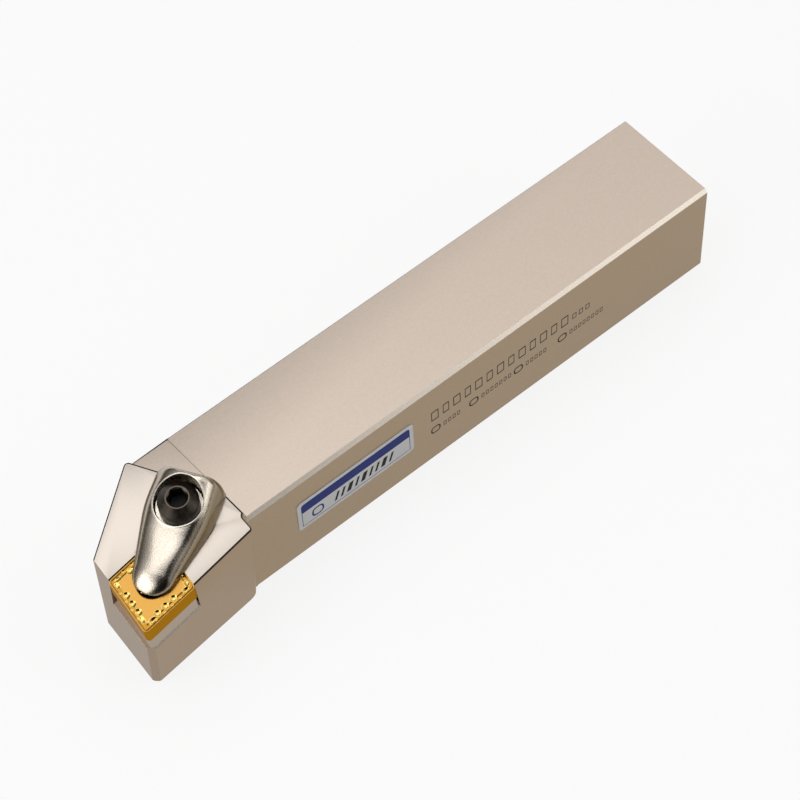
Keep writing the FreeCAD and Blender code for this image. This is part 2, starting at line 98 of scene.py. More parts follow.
# Material slots of the pieces that have more than one finish
ON_TOP, ON_SIDE, ON_FRONT, ON_BROKEN_EDGE, ON_FAR_EDGE, ON_SHOULDER, ON_PALE_EDGE = range(7)
ON_FACE, ON_FLANK, IN_DIMPLE, IN_GROOVE = range(4)
ON_HEAD, ON_GREY_RING, IN_SOCKET = range(3)
ON_RIM, IN_BORE = range(2)
BLUE_INK, BLACK_INK = range(2)

# Grain of a metal: the band of the noise that it uses, its height as a share of its width, and how
# far it moves the roughness up and down
NOISE_LOW, NOISE_HIGH = 0.3, 0.7
GRAIN_HEIGHT = 0.12
ROUGHNESS_SPREAD = 0.03


def seat_to_tool():
    """Place of the insert's top face: origin at its sharp corner, X along the main edge."""
    loss = INSERT_CORNER * (math.cos(math.pi / 4) / math.sin(POINT_ANGLE / 2) - 1)
    corner = Vector((-OVERALL_LENGTH / 2 - loss, SHANK_WIDTH / 2 - FUNCTIONAL_WIDTH - loss,
                     SHANK_HEIGHT))
    turns = Matrix.Rotation(SEAT_TURN, 4, "Z") @ Matrix.Rotation(SEAT_RISE, 4, "Y")
    return Matrix.Translation(corner) @ turns @ Matrix.Rotation(SEAT_ROLL, 4, "X")


side_length = INSERT_CIRCLE / math.sin(POINT_ANGLE)
insert_centre = Vector((side_length * (1 + math.cos(POINT_ANGLE)) / 2, INSERT_CIRCLE / 2, 0))
# How far along an edge the rounding of its pointed and of its wide corner reaches
point_reach = INSERT_CORNER / math.tan(POINT_ANGLE / 2)
wide_reach = INSERT_CORNER * math.tan(POINT_ANGLE / 2)
seat = seat_to_tool()
seat_up = seat.to_3x3() @ Vector((0, 0, 1))
finger = seat @ Matrix.Translation(insert_centre) @ Matrix.Rotation(FINGER_TURN, 4, "Z")
screw_axis = finger @ Matrix.Translation((SCREW_DISTANCE, 0, 0))
# Every hollow of an edge, with its place along the edge from the pointed corner
hollows = [(side_length / 2 + number * DIMPLE_PITCH, *DIMPLE) for number in (-1, 0, 1)]
hollows += [(side_length / 2 + number * DIMPLE_PITCH, *SMALL_DIMPLE)
            for number in (-1.5, -0.5, 0.5, 1.5)]
hollows += [(FROM_POINT, *POINT_POCKET), (side_length - FROM_WIDE_CORNER, *WIDE_POCKET)]


def linear(hex_colour):
    """Linear colour of an sRGB hex value."""
    channels = []
    for place in (1, 3, 5):
        value = int(hex_colour[place:place + 2], 16) / 255
        channels.append(value / 12.92 if value <= 0.04045 else ((value + 0.055) / 1.055) ** 2.4)
    return (*channels, 1.0)


def add(tree, kind, links=None, **settings):
    """A shader node with its settings, its socket values and what is linked to it."""
    node = tree.nodes.new(kind)
    for name, value in settings.items():
        setattr(node, name, value)
    for socket, value in (links or {}).items():
        if isinstance(value, bpy.types.NodeSocket):
            tree.links.new(value, node.inputs[socket])
        else:
            node.inputs[socket].default_value = value
    return node


def start_finish(name):
    """An empty material and its node tree."""
    material = bpy.data.materials.new(name)
    material.use_nodes = True
    material.node_tree.nodes.clear()
    return material, material.node_tree


def per_mm(size):
    """Scale of a pattern whose features are this many millimetres across."""
    return 1 / (size * MM)


def speckle(tree, place, grain_mm, pale, dull, relief):
    """Fine grain of a metal: the mix of its two near tones, its relief and the grain itself."""
    grain = add(tree, "ShaderNodeTexNoise",
                {"Vector": place, "Scale": per_mm(grain_mm), "Detail": 2.0}).outputs["Fac"]
    share = add(tree, "ShaderNodeMapRange",
                {"Value": grain, "From Min": NOISE_LOW, "From Max": NOISE_HIGH})
    tone = add(tree, "ShaderNodeMix",
               {"Factor": share.outputs[0], 6: linear(dull), 7: linear(pale)}, data_type="RGBA")
    bump = add(tree, "ShaderNodeBump",
               {"Height": grain, "Strength": relief, "Distance": grain_mm * MM * GRAIN_HEIGHT})
    return tone.outputs[2], bump.outputs["Normal"], grain


def speckled_metal(name, pale, dull, grain_mm, roughness, relief, metallic=1.0, stretch=1.0,
                   grazing="#ffffff"):
    """Metal with two near tones in a fine grain, which also breaks up its reflections a little.
    Stretch draws the grain out along the tool, like a grinding lay, and grazing tints the gloss."""
    material, tree = start_finish(name)
    place = add(tree, "ShaderNodeTexCoord").outputs["Object"]
    lay = add(tree, "ShaderNodeMapping", {"Vector": place, "Scale": (1 / stretch, 1.0, 1.0)})
    tone, normal, grain = speckle(tree, lay.outputs[0], grain_mm, pale, dull, relief)
    rough = add(tree, "ShaderNodeMapRange",
                {"Value": grain, "From Min": NOISE_LOW, "From Max": NOISE_HIGH,
                 "To Min": roughness - ROUGHNESS_SPREAD, "To Max": roughness + ROUGHNESS_SPREAD})
    shader = add(tree, "ShaderNodeBsdfPrincipled",
                 {"Base Color": tone, "Metallic": metallic, "Roughness": rough.outputs[0],
                  "Specular Tint": linear(grazing), "Normal": normal})
    add(tree, "ShaderNodeOutputMaterial", {"Surface": shader.outputs[0]})
    return material


def forged_skin_painted_shade(name, pale, dull, flank, grain_mm, roughness, relief):
    """Blasted and plated forging: pale on its crown, where it faces up, and browner on its flanks as
    painted shade.
    """
    steep, upward = 0.4, 0.94
    material, tree = start_finish(name)
    place = add(tree, "ShaderNodeTexCoord").outputs["Object"]
    tone, normal = speckle(tree, place, grain_mm, pale, dull, relief)[:2]
    # Share of the crown by how squarely a face looks up; the flank colour is painted shade where the
    # forging turns away
    facing = add(tree, "ShaderNodeNewGeometry").outputs["Normal"]
    upright = add(tree, "ShaderNodeVectorMath", {0: facing, 1: seat_up}, operation="DOT_PRODUCT")
    crown = add(tree, "ShaderNodeMapRange",
                {"Value": upright.outputs["Value"], "From Min": steep, "From Max": upward},
                interpolation_type="SMOOTHSTEP")
    colour = add(tree, "ShaderNodeMix",
                 {"Factor": crown.outputs[0], 6: linear(flank), 7: tone}, data_type="RGBA")
    shader = add(tree, "ShaderNodeBsdfPrincipled",
                 {"Base Color": colour.outputs[2], "Metallic": 1.0, "Roughness": roughness,
                  "Normal": normal})
    add(tree, "ShaderNodeOutputMaterial", {"Surface": shader.outputs[0]})
    return material


def fading_edge(name, dark, pale, roughness, dark_end, pale_start):
    """Painted shade on a long edge: a dark brown line by the head, as pale as the rest towards the
    tail.
    """
    material, tree = start_finish(name)
    place = add(tree, "ShaderNodeTexCoord").outputs["Object"]
    along = add(tree, "ShaderNodeSeparateXYZ", {0: place}).outputs["X"]
    share = add(tree, "ShaderNodeMapRange",
                {"Value": along, "From Min": dark_end * MM, "From Max": pale_start * MM})
    colour = add(tree, "ShaderNodeMix",
                 {"Factor": share.outputs[0], 6: linear(dark), 7: linear(pale)}, data_type="RGBA")
    shader = add(tree, "ShaderNodeBsdfPrincipled",
                 {"Base Color": colour.outputs[2], "Metallic": 1.0, "Roughness": roughness})
    add(tree, "ShaderNodeOutputMaterial", {"Surface": shader.outputs[0]})
    return material


def printed_film(name, hex_colour):
    """Printed film: flat ink colour with hardly any shine, on a film that ripples a little."""
    ripple_mm, ripple_height = 4.0, 0.02
    material, tree = start_finish(name)
    place = add(tree, "ShaderNodeTexCoord").outputs["Object"]
    ripple = add(tree, "ShaderNodeTexNoise",
                 {"Vector": place, "Scale": per_mm(ripple_mm), "Detail": 1.0})
    bump = add(tree, "ShaderNodeBump",
               {"Height": ripple.outputs["Fac"], "Strength": 0.1, "Distance": ripple_height * MM})
    shader = add(tree, "ShaderNodeBsdfPrincipled",
                 {"Base Color": linear(hex_colour), "Roughness": 0.55, "Specular IOR Level": 0.15,
                  "Normal": bump.outputs["Normal"]})
    add(tree, "ShaderNodeOutputMaterial", {"Surface": shader.outputs[0]})
    return material


# Each metal has its pale and its dull tone, then its grain in millimetres, roughness and relief.
# Ground top of the bar: a pale, faintly pink grey with a fine lay
ground_top = speckled_metal("nickel_on_ground_top", "#dfd1c4", "#d8cabd", 0.3, 0.38, 0.2,
                            stretch=2.0)
# Ground tops of the two shoulders: the same plate, a little whiter as painted light from the overhead
# lamp that their tilted faces mirror
ground_shoulder_painted_light = speckled_metal("nickel_on_shoulders_painted_light", "#d9d0c7", "#d2c8be", 0.3, 0.38, 0.2)
# Broken long edge beside the sticker: a painted highlight, paler than the top where it mirrors the
# right lamp
pale_edge_painted_highlight = speckled_metal("painted_highlight_on_long_edge", "#ece3d8", "#ddd3c6", 0.3, 0.36, 0.2)
# Milled sides: the same plate over a coarser cut, painted darker and more olive as shade
milled_side_painted_shade = speckled_metal("nickel_on_milled_sides_painted_shade", "#a38f75", "#9b866c", 0.35, 0.42, 0.25)
# Front of the head, face milled: painted shade, greyer than the sides
milled_front_painted_shade = speckled_metal("nickel_on_milled_front_painted_shade", "#9e8a75", "#96826d", 0.35, 0.42, 0.25)
# Broken edges of the raised head: a thin dark line of painted shade, for the dark room that they mirror
dark_edge_painted_shade = speckled_metal("painted_dark_line_on_broken_edges", "#3a3128", "#2c251e", 0.4, 0.45, 0.2)
# Far edge of the bar's top: a thin dark line of painted shade by the head, lost towards the tail
far_edge_painted_shade = fading_edge("painted_shade_on_far_edge", "#2c251e", "#b3a698", 0.45, dark_end=-40, pale_start=45)
# Forged clamp: blasted and plated, bright on its crown, with painted shade on its flanks
clamp_skin_painted_shade = forged_skin_painted_shade("nickel_on_forging_painted_flank_shade", "#e2dace", "#cfc4b5", "#82745b",
                         0.28, 0.20, 0.6)
# Rim of the clamp's bore: a white ring round the screw, painted as a highlight
rim_painted_highlight = speckled_metal("nickel_rim_painted_highlight", "#fbf6ee", "#f4ece0", 0.3, 0.28, 0.1)
# Upper wall of the bore, in the shade of its rim
bore_wall = speckled_metal("nickel_in_the_bore", "#3f382f", "#352e26", 0.4, 0.4, 0.1)
# Coated carbide: pale orange gold on the pressed faces
gold_face = speckled_metal("gold_nitride_on_pressed_faces", "#cfa053", "#c69546", 0.25, 0.33, 0.4)
# Walls of the pressed hollows: smoother, so they flash bright and dark, and paler than the face as a
# painted highlight
gold_dimple_painted_highlight = speckled_metal("gold_nitride_in_dimples_painted_highlight", "#f7d27a", "#f0c768",
                             0.25, 0.14, 0.2)
# Floor of the chip breaker's groove: painted shade between the two, as it lies lower and turns away
gold_groove_painted_shade = speckled_metal("gold_nitride_in_groove_painted_shade", "#b98a37", "#ad7d2b", 0.25, 0.24, 0.3)
# Ground flanks of the insert: a deeper gold as painted shade, which stays gold where they are seen at a
# low angle
gold_flank_painted_shade = speckled_metal("gold_nitride_on_flanks_painted_shade", "#ae8440", "#a17836", 0.3, 0.36, 0.2,
                            grazing="#dcb890")
# Seat plate of bare carbide, plated over like the holder
seat_plate = speckled_metal("ground_carbide_seat", "#aa9a87", "#a08f7b", 0.2, 0.40, 0.2)
# Screws: black oxide with a film of oil, dark and softly glossy
oiled_black = speckled_metal("black_oxide_with_oil", "#4a443c", "#37312b", 0.8, 0.36, 0.2,
                             metallic=0.85)
# Ring round the clamp screw's socket: the oxide paler grey on the upward faces of the head's top
grey_ring_black = speckled_metal("black_oxide_grey_round_socket", "#6a625a", "#5b534b", 0.5, 0.34, 0.2)
# Walls and floor of the socket: oxide darkened as painted shade of the recess, nearly matt
socket_black = speckled_metal("black_oxide_in_the_socket", "#1d1c1c", "#151414", 0.8, 0.6, 0.2,
                              metallic=0.3)
# Drawn spring wire: bright grey steel
spring_wire = speckled_metal("drawn_spring_wire", "#96938e", "#85827d", 0.1, 0.3, 0.3)
# Sticker: white film, with its blue and its black ink
film_white = printed_film("white_printed_film", "#dedfdf")
film_blue = printed_film("deep_blue_ink", "#1f2f7c")
film_black = printed_film("black_ink", "#0c0c0e")
# Marks etched through the plate: dark brown and nearly matt
etched_mark = speckled_metal("marks_etched_in_the_plate", "#3c342b", "#2f2821", 0.3, 0.6, 0.2)


def link(name, mesh, *materials):
    """A named object for a mesh, with its materials."""
    piece = bpy.data.objects.new(name, mesh)
    collection.objects.link(piece)
    for material in materials:
        mesh.materials.append(material)
    return piece


def node_form(node, join_flats=True):
    """The node's own solid as an editable form, with its flat faces joined where asked."""
    weld_mm, flat = 0.0005, math.radians(0.3)
    form = bmesh.new()
    form.from_mesh(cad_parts[node].data)
    bmesh.ops.remove_doubles(form, verts=form.verts, dist=weld_mm * MM)
    if join_flats:
        bmesh.ops.dissolve_limit(form, angle_limit=flat, verts=form.verts, edges=form.edges)
    for face in form.faces:
        face.smooth = True
    form.normal_update()
    return form


def break_edges(form, chosen, width_mm, slot):
    """Round some sharp edges by a width and give the new faces a material slot."""
    edges = [edge for edge in form.edges if len(edge.link_faces) == 2 and chosen(edge)]
    bmesh.ops.bevel(form, geom=edges, offset=width_mm * MM, segments=2, profile=0.5,
                    affect="EDGES", clamp_overlap=False, material=slot)
    form.normal_update()


def stand_for(form, node, name, edge_mm, body, *materials):
    """Turn a form into the piece that stands for a node, with its sharp edges rounded by a width."""
    for edge in form.edges:
        edge.smooth = len(edge.link_faces) == 2 and edge.calc_face_angle() < SHARP
    mesh = bpy.data.meshes.new(name)
    form.to_mesh(mesh)
    form.free()
    piece = link(name, mesh, *materials)
    if edge_mm:
        rounding = piece.modifiers.new("broken_edges", "BEVEL")
        rounding.width = edge_mm * MM
        rounding.segments = 2
        rounding.limit_method = "ANGLE"
        rounding.angle_limit = SHARP
        rounding.harden_normals = True
    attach(piece, body)
    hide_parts(node)


def dress_holder():
    """Bar and head: ground top, shoulders whiter as painted light, milled sides and front with painted
    shade, a painted highlight on the long edge by the sticker, and painted dark lines on the far edge
    and the broken edges of the raised head.
    """
    # How squarely a face looks along a direction: exactly, nearly, mostly and by half; and the same for
    # the slanted face of a broken edge, the front of the head and the step by the floor
    exact, near, most, half = 0.999, 0.99, 0.9, 0.5
    slant, front, step = 0.6, 0.62, 0.75
    head_start = SHANK_HEIGHT + 1
    form = node_form("holder_body")
    # Slots by facing: shoulders get painted light, sides and front painted shade, the far edge a
    # painted dark line, the near long edge a painted highlight
    for face in form.faces:
        normal = face.normal
        if normal.dot(seat_up) > exact and face.calc_center_median().z > SHANK_HEIGHT * MM:
            face.material_index = ON_SHOULDER
        elif abs(normal.z) > most:
            face.material_index = ON_TOP
        elif normal.x < -half:
            face.material_index = ON_FRONT
        elif normal.y > slant and normal.z > slant:
            face.material_index = ON_FAR_EDGE
        elif normal.y < -slant and normal.z > slant:
            face.material_index = ON_PALE_EDGE
        elif normal.z < half:
            face.material_index = ON_SIDE

    def raised_edge(edge):
        """Edges round the tops of the two shoulders and beside the floor behind them."""
        upper, lower = sorted(edge.link_faces, key=lambda face: -face.normal.z)
        # Hollow edges, the ones between two upward faces and the front ones stay as they are
        if not edge.is_convex or lower.normal.z > half or lower.normal.x < -front:
            return False
        places = [screw_axis.inverted() @ (vertex.co / MM) for vertex in edge.verts]
        by_spring = all(place.xy.length < HEAD_BORE for place in places)
        high = all(vertex.co.z > head_start * MM for vertex in edge.verts)
        on_shoulder = high and upper.normal.dot(seat_up) > near and not by_spring
        by_floor = upper.normal.z > exact and lower.normal.y > step
        return on_shoulder or by_floor

    # The new faces of these broken edges carry a painted dark line
    break_edges(form, raised_edge, width_mm=0.3, slot=ON_BROKEN_EDGE)
    stand_for(form, "holder_body", "holder_body_plated", 0.14, "holder",
              ground_top, milled_side_painted_shade, milled_front_painted_shade, dark_edge_painted_shade, far_edge_painted_shade, ground_shoulder_painted_light, pale_edge_painted_highlight)


def eased(part):
    """Share from 0 to 1 with a soft start and end."""
    part = min(max(part, 0.0), 1.0)
    return part * part * (3 - 2 * part)


def insert_outline():
    """Rounded rhombus round the insert, anticlockwise from its cutting corner."""
    near = Vector((point_reach, INSERT_CORNER, 0))
    wide = Vector((side_length - wide_reach, INSERT_CORNER, 0))
    corners = (near, wide, 2 * insert_centre - near, 2 * insert_centre - wide, near)
    # Direction in which each corner's rounding starts, once round
    turns = [math.radians(angle) for angle in (-190, -90, -10, 90, 170)]
    outline = []
    for number in range(4):
        for step in range(CORNER_STEPS + 1):
            turn = turns[number] + (turns[number + 1] - turns[number]) * step / CORNER_STEPS
            away = Vector((math.cos(turn), math.sin(turn), 0))
            outline.append(corners[number] + INSERT_CORNER * away)
        start, end = outline[-1], outline[-1] + corners[number + 1] - corners[number]
        outline += [start.lerp(end, step / EDGE_STEPS) for step in range(1, EDGE_STEPS)]
    return outline


def pressed(x, y):
    """Depth of the chip breaker at a point of the insert's face, and whether that is in a hollow."""
    # The point from all four edges: how far along from the pointed corner, and how far in
    cosine, sine = math.cos(POINT_ANGLE), math.sin(POINT_ANGLE)
    places = []
    for u, v in ((x, y), (2 * insert_centre.x - x, 2 * insert_centre.y - y)):
        places += [(u, v), (u * cosine + v * sine, u * sine - v * cosine)]
    inset = min(inward for along, inward in places)
    # In a corner the groove follows the rounding between its two edges
    for first, second, pointed in ((0, 1, True), (2, 3, True), (0, 3, False), (2, 1, False)):
        reach = point_reach if pointed else wide_reach
        ends = [places[edge][0] if pointed else side_length - places[edge][0]
                for edge in (first, second)]
        if max(ends) < reach:
            inset = INSERT_CORNER - math.hypot(reach - ends[0], INSERT_CORNER - places[first][1])
    depth = GROOVE_DEPTH * eased((inset - GROOVE_START) / GROOVE_FALL)
    depth *= 1 - eased((inset - GROOVE_END) / GROOVE_RISE)
    hollow = 0.0
    for along, inward in places:
        if inward > HOLLOWS_END:
            continue
        for place, half_length, row, half_width, deepest, skew in hollows:
            across = (inward - row) / half_width
            reach = math.hypot((along - place) / half_length, across)
            if reach < 1:
                hollow = max(hollow, deepest * (1 - reach * reach) * (1 - skew * across))
    return max(depth, hollow), hollow > depth


def insert_rings(outline):
    """Rings from the wall of the insert's hole over its face to its flank, with each point's slot."""
    groove_floor = 0.6 * GROOVE_DEPTH
    rings, slots = [], []
    away = [(point - insert_centre).normalized() for point in outline]
    for step in range(RIM_STEPS + 1):
        turn = math.radians(step * 90 / RIM_STEPS)
        radius = HOLE_RADIUS + HOLE_ROUNDING * (1 - math.cos(turn))
        low = Vector((0, 0, HOLE_ROUNDING * (math.sin(turn) - 1)))
        rings.append([insert_centre + direction * radius + low for direction in away])
        slots.append([ON_FACE] * len(outline))
    rim = rings[-1]
    for step in range(1, FACE_STEPS + 1):
        ring, touched = [], []
        for inner, outer, direction in zip(rim, outline, away):
            point = inner.lerp(outer - direction * EDGE_HONE, step / FACE_STEPS)
            depth, in_hollow = pressed(point.x, point.y)
            ring.append(point - Vector((0, 0, depth)))
            touched.append(IN_DIMPLE if in_hollow else IN_GROOVE if depth > groove_floor else ON_FACE)
        rings.append(ring)
        slots.append(touched)
    rings.append([point - Vector((0, 0, EDGE_HONE)) for point in outline])
    slots.append([ON_FACE] * len(outline))
    return rings, slots


def dress_insert():
    """Insert: gold on its two pressed faces, glossier and painted paler in their hollows, painted shade
    in the groove and deeper gold on its flanks as painted shade.
    """
    outline = insert_outline()
    rings, slots = insert_rings(outline)
    under = [[Vector((point.x, point.y, -INSERT_THICKNESS - point.z)) for point in ring]
             for ring in reversed(rings)]
    rings, slots = rings + under, slots + slots[::-1]
    flank = len(rings) // 2 - 1
    form = bmesh.new()
    net = [[form.verts.new(seat @ point * MM) for point in ring] for ring in rings]
    for number in range(len(net)):
        after = (number + 1) % len(net)
        for place in range(len(outline)):
            beside = (place + 1) % len(outline)
            corners = ((number, place), (after, place), (after, beside), (number, beside))
            face = form.faces.new([net[ring][point] for ring, point in corners])
            face.smooth = True
            touched = [slots[ring][point] for ring, point in corners]
            # Flanks, groove and hollows take the finishes with painted shade and painted highlight
            if number == flank:
                face.material_index = ON_FLANK
            else:
                face.material_index = IN_DIMPLE if IN_DIMPLE in touched else max(touched)
    form.normal_update()
    stand_for(form, "insert", "insert_coated", 0, "holder",
              gold_face, gold_flank_painted_shade, gold_dimple_painted_highlight, gold_groove_painted_shade)


def in_outline(x, y, share, shoulder_radius):
    """Whether a point lies inside the clamp's outline, drawn in towards its ridge by a share."""
    nose, half, corner = (size * share for size in (NOSE_RADIUS, CLAMP_HALF_WIDTH, CLAMP_CORNER))
    bend = shoulder_radius * share
    tail = RIDGE_END + (CLAMP_TAIL - RIDGE_END) * share
    ahead, aside = x - NOSE_CENTRE, abs(y)
    run = CLAMP_SHOULDER - NOSE_CENTRE
    taper = math.atan2(half, run) - math.asin(nose / math.hypot(run, half))
    along = ahead * math.cos(taper) + aside * math.sin(taper)
    across = aside * math.cos(taper) - ahead * math.sin(taper)
    if (across if along > 0 else math.hypot(ahead, aside)) > nose or aside > half or x > tail:
        return False
    reach = bend * math.tan(taper / 2)
    behind, above = CLAMP_SHOULDER + reach - x, aside - (half - bend)
    by_shoulder = 0 < behind < reach * (1 + math.cos(taper)) and above > 0
    if by_shoulder and math.hypot(behind, above) > bend:
        return False
    past, wide = x - (tail - corner), aside - (half - corner)
    return not (past > 0 and wide > 0 and math.hypot(past, wide) > corner)


def share_of_outline(x, y, shoulder_radius):
    """How far out a point lies between the clamp's ridge, at 0, and its outline, at 1."""
    halvings = 18
    low, high = 0.0, 1.0
    for step in range(halvings):
        share = (low + high) / 2
        if in_outline(x, y, share, shoulder_radius):
            high = share
        else:
            low = share
    return (low + high) / 2


def crown_height(x, y):
    """Height of the forging's crown over a point, fuller at the nose and softer behind the bore,
    and the height that the plain solid has there."""
    nose_end, full_nose, nose_roundness, nose_swell = 9.5, 2.5, 2.3, 0.85
    tail_start, full_tail, tail_roundness = 16.0, 20.5, 2.4
    soft_shoulder = 2.4 * SHOULDER_RADIUS
    share = share_of_outline(x, y, SHOULDER_RADIUS)
    soft_share = share_of_outline(x, y, soft_shoulder)
    nose = eased((nose_end - x) / (nose_end - full_nose))
    tail = eased((x - tail_start) / (full_tail - tail_start))
    roundness = CROWN_ROUNDNESS + nose * (nose_roundness - CROWN_ROUNDNESS)
    roundness += tail * (tail_roundness - CROWN_ROUNDNESS)
    plain = CROWN_RISE + CROWN_SLOPE * x - CROWN_TILT * y
    full = plain + nose * nose_swell
    return (CROWN_FOOT + math.sqrt(max(0.0, 1 - soft_share ** roundness)) * full,
            CROWN_FOOT + math.sqrt(max(0.0, 1 - share ** CROWN_ROUNDNESS)) * plain)


def even_skin(form, size_mm):
    """The same solid under an even net of small faces, which bends smoothly."""
    mesh = bpy.data.meshes.new("clamp_net")
    form.to_mesh(mesh)
    solid = link("clamp_net", mesh)
    net = solid.modifiers.new("net", "REMESH")
    net.mode = "VOXEL"
    net.voxel_size = size_mm * MM
    bpy.context.view_layer.update()
    netted = solid.evaluated_get(bpy.context.evaluated_depsgraph_get()).to_mesh()
    form.clear()
    form.from_mesh(netted)
    bpy.data.objects.remove(solid)
    for face in form.faces:
        face.smooth = True


def crown_forging(form):
    """Bend the net on the forging's crown to its real, softer form."""
    # How near a point is to the crown's foot or the bore, and how near to the crown itself
    close, on_crown = 0.1, 0.2
    for vertex in form.verts:
        place = finger.inverted() @ (vertex.co / MM)
        beside_bore = math.hypot(place.x - SCREW_DISTANCE, place.y) - HEAD_BORE
        if place.z < CROWN_FOOT + close or beside_bore < -close:
            continue
        full, plain = crown_height(place.x, place.y)
        if abs(plain - place.z) < on_crown or (beside_bore < on_crown and place.z > full):
            vertex.co = finger @ Vector((place.x, place.y, full)) * MM
    form.normal_update()


def bore_rim():
    """Rounded rim, painted bright as a highlight, that follows the clamp's crown round its bore, over a
    shaded upper wall.
    """
    steps = 96
    # Section of the rim: how far out from the bore and how far above the crown, from the wall's foot
    section = ((-0.03, -0.6), (-0.03, -0.14), (0.02, -0.03), (0.11, 0.03), (0.26, 0.04),
               (0.42, -0.02), (0.42, -0.3), (0.12, -0.6))
    rim = bmesh.new()
    rows = []
    for step in range(steps):
        angle = 2 * math.pi * step / steps
        row = []
        for outward, rise in section:
            radius = HEAD_BORE + outward
            x, y = SCREW_DISTANCE + radius * math.cos(angle), radius * math.sin(angle)
            row.append(rim.verts.new(finger @ Vector((x, y, crown_height(x, y)[0] + rise)) * MM))
        rows.append(row)
    for index, row in enumerate(rows):
        ahead = rows[(index + 1) % steps]
        for side in range(len(row)):
            after = (side + 1) % len(row)
            face = rim.faces.new((row[side], row[after], ahead[after], ahead[side]))
            face.smooth = True
            face.material_index = IN_BORE if side == 0 else ON_RIM
    bmesh.ops.recalc_face_normals(rim, faces=rim.faces)
    mesh = bpy.data.meshes.new("clamp_bore_rim")
    rim.to_mesh(mesh)
    rim.free()
    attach(link("clamp_bore_rim", mesh, rim_painted_highlight, bore_wall), "clamp")


def dress_clamp():
    """Clamp: blasted forging with painted shade on its flanks, a full nose and a rim round its bore
    painted bright as a highlight.
    """
    form = node_form("clamp", join_flats=False)
    even_skin(form, CLAMP_NET)
    crown_forging(form)
    bore_rim()
    stand_for(form, "clamp", "clamp_plated", 0, "clamp", clamp_skin_painted_shade)


def dress_clamp_screw():
    """Clamp screw: oiled head, paler grey ring round the socket, socket walls darkened as painted
    shade.
    """
    # The ring's depth, the socket's gap to the stem's radius, its floor and how far down it starts
    ring_depth, socket_gap, socket_floor, socket_start = 0.5, 0.3, 2.0, 0.02
    form = node_form("clamp_screw")
    axis = screw_axis.inverted()
    top = max((axis @ (vertex.co / MM)).z for vertex in form.verts)
    # Faces inside the socket take the painted shade of the recess
    for face in form.faces:
        place = axis @ (face.calc_center_median() / MM)
        radius = place.xy.length
        faces_up = face.normal.dot(seat_up) > 0.6
        if faces_up and place.z > top - ring_depth and radius < SCREW_RADIUS:
            face.material_index = ON_GREY_RING
        elif radius < SCREW_RADIUS - socket_gap and socket_floor < place.z < top - socket_start:
            face.material_index = IN_SOCKET
        else:
            face.material_index = ON_HEAD
    stand_for(form, "clamp_screw", "clamp_screw_blackened", 0.1, "clamp_screw",
              oiled_black, grey_ring_black, socket_black)


def dress_shim():
    """Seat plate under the insert."""
    stand_for(node_form("shim"), "shim", "shim_ground", 0.08, "holder", seat_plate)


dress_holder()
dress_insert()
dress_clamp()
dress_clamp_screw()
dress_shim()
for node, material in (("clamp_spring", spring_wire), ("shim_screw", oiled_black),
                       ("label", film_white)):
    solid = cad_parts[node]
    solid.data.materials.clear()
    solid.data.materials.append(material)


def rounded_box(low, high, radius=0.0, steps=6):
    """Outline of a rounded box in X and Z; the radius is one number, or one for each corner."""
    radii = radius if isinstance(radius, tuple) else (radius,) * 4
    corners = ((high[0], low[1], -90), (high[0], high[1], 0), (low[0], high[1], 90),
               (low[0], low[1], 180))
    points = []
    for (x, z, start), bend in zip(corners, radii):
        inward = (1 if x == low[0] else -1, 1 if z == low[1] else -1)
        centre = (x + inward[0] * bend, z + inward[1] * bend)
        for step in range(steps + 1 if bend else 1):
            angle = math.radians(start + 90 * step / steps)
            points.append((centre[0] + bend * math.cos(angle), centre[1] + bend * math.sin(angle)))
    return points


def print_face(form, points, slot):
    """One flat face of a print, turned to the cutting side."""
    face = form.faces.new(points)
    face.material_index = slot
    face.normal_update()
    if face.normal.y > 0:
        face.normal_flip()


def print_points(form, outline, proud):
    """Points of an outline that stand proud of the bar's side."""
    y = -SHANK_WIDTH / 2 - proud
    return [form.verts.new((x * MM, y * MM, z * MM)) for x, z in outline]


def print_field(form, outline, proud, slot):
    """One printed field on the sticker."""
    print_face(form, print_points(form, outline, proud), slot)


def print_line(form, outline, width, proud):
    """Closed line of an even width along an outline, as a ring of flat faces in the first finish."""
    count = len(outline)
    middle = (sum(x for x, z in outline) / count, sum(z for x, z in outline) / count)
    inner = []
    for x, z in outline:
        reach = math.hypot(x - middle[0], z - middle[1])
        pull = width * math.sqrt(2) / reach
        inner.append((x + (middle[0] - x) * pull, z + (middle[1] - z) * pull))
    outside = print_points(form, outline, proud)
    inside = print_points(form, inner, proud)
    for index in range(count):
        ahead = (index + 1) % count
        print_face(form, (outside[index], outside[ahead], inside[ahead], inside[index]), 0)


def finish_print(form, name, *materials):
    """Turn printed fields into a piece on the holder."""
    mesh = bpy.data.meshes.new(name)
    form.to_mesh(mesh)
    form.free()
    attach(link(name, mesh, *materials), "holder")


